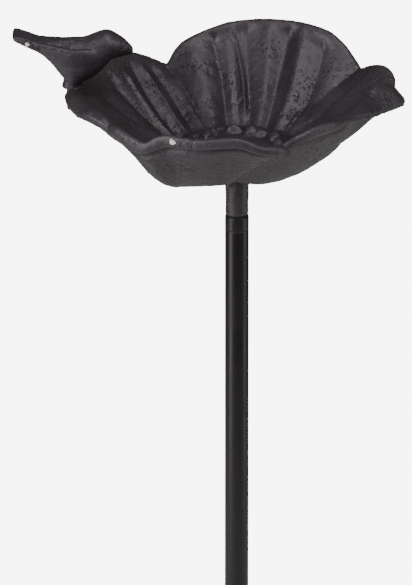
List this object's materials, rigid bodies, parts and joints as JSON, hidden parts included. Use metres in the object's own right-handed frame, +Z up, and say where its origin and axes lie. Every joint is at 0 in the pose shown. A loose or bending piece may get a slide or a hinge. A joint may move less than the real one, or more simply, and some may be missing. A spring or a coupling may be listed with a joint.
{
  "type": "bird feeder on pole",
  "caption": "Open petal-shaped cast bowl with a perched bird on its rim, screwed to a sectional ground pole with a step bar and a forked spike.",
  "frame": {"origin": "on the pole's axis at ground level: the top of the ground spike, level with the underside of the step bar", "axes": "+Z up along the pole, +X to the right seen from the front, -Y the front, with the bird on the rim at -X"},
  "size_m": [0.2621, 0.2138, 1.1783],
  "materials": {
    "cast_paint": "rough sand-cast iron under satin charcoal-black paint",
    "pole_paint": "smooth satin charcoal-black powder coat",
    "joint_ring": "matt black",
    "bare_steel": "zinc-plated, threaded"
  },
  "bodies": {
    "ground_section": {"lower_tube": "pole_paint", "lower_top_fitting": "pole_paint", "lower_joint_stud": "bare_steel", "ground_spike": "pole_paint", "step_bar": "pole_paint", "left_prong": "pole_paint", "right_prong": "pole_paint"},
    "lower_ring": {"lower_washer": "joint_ring"},
    "middle_section": {"middle_tube": "pole_paint", "middle_bottom_fitting": "bare_steel", "middle_top_fitting": "pole_paint", "upper_joint_stud": "bare_steel"},
    "upper_ring": {"upper_washer": "joint_ring"},
    "upper_section": {"upper_tube": "pole_paint", "upper_bottom_fitting": "bare_steel", "upper_top_fitting": "pole_paint", "bowl_stud": "bare_steel"},
    "bowl_ring": {"bowl_washer": "joint_ring"},
    "bowl": {"petal_bowl": "cast_paint", "bird_figure": "cast_paint", "bird_screw": "bare_steel"}
  },
  "joints": [
    {"name": "middle_section_turn", "type": "hinge", "parent": "ground_section", "child": "lower_ring", "pos_m": [0, 0, 0.3], "axis": [0, 0, 1], "range_deg": [0, 2970]},
    {"name": "middle_section_rise", "type": "slide", "parent": "lower_ring", "child": "middle_section", "axis": [0, 0, 1], "range_m": [0, 0.01031]},
    {"name": "upper_section_turn", "type": "hinge", "parent": "middle_section", "child": "upper_ring", "pos_m": [0, 0, 0.601], "axis": [0, 0, 1], "range_deg": [0, 2970]},
    {"name": "upper_section_rise", "type": "slide", "parent": "upper_ring", "child": "upper_section", "axis": [0, 0, 1], "range_m": [0, 0.01031]},
    {"name": "bowl_turn", "type": "hinge", "parent": "upper_section", "child": "bowl_ring", "pos_m": [0, 0, 0.902], "axis": [0, 0, 1], "range_deg": [0, 2970]},
    {"name": "bowl_rise", "type": "slide", "parent": "bowl_ring", "child": "bowl", "axis": [0, 0, 1], "range_m": [0, 0.01031]}
  ],
  "couplings": [
    {"joint": "middle_section_turn", "follows": "middle_section_rise", "rad_per_m": 5026.5},
    {"joint": "upper_section_turn", "follows": "upper_section_rise", "rad_per_m": 5026.5},
    {"joint": "bowl_turn", "follows": "bowl_rise", "rad_per_m": 5026.5}
  ]
}
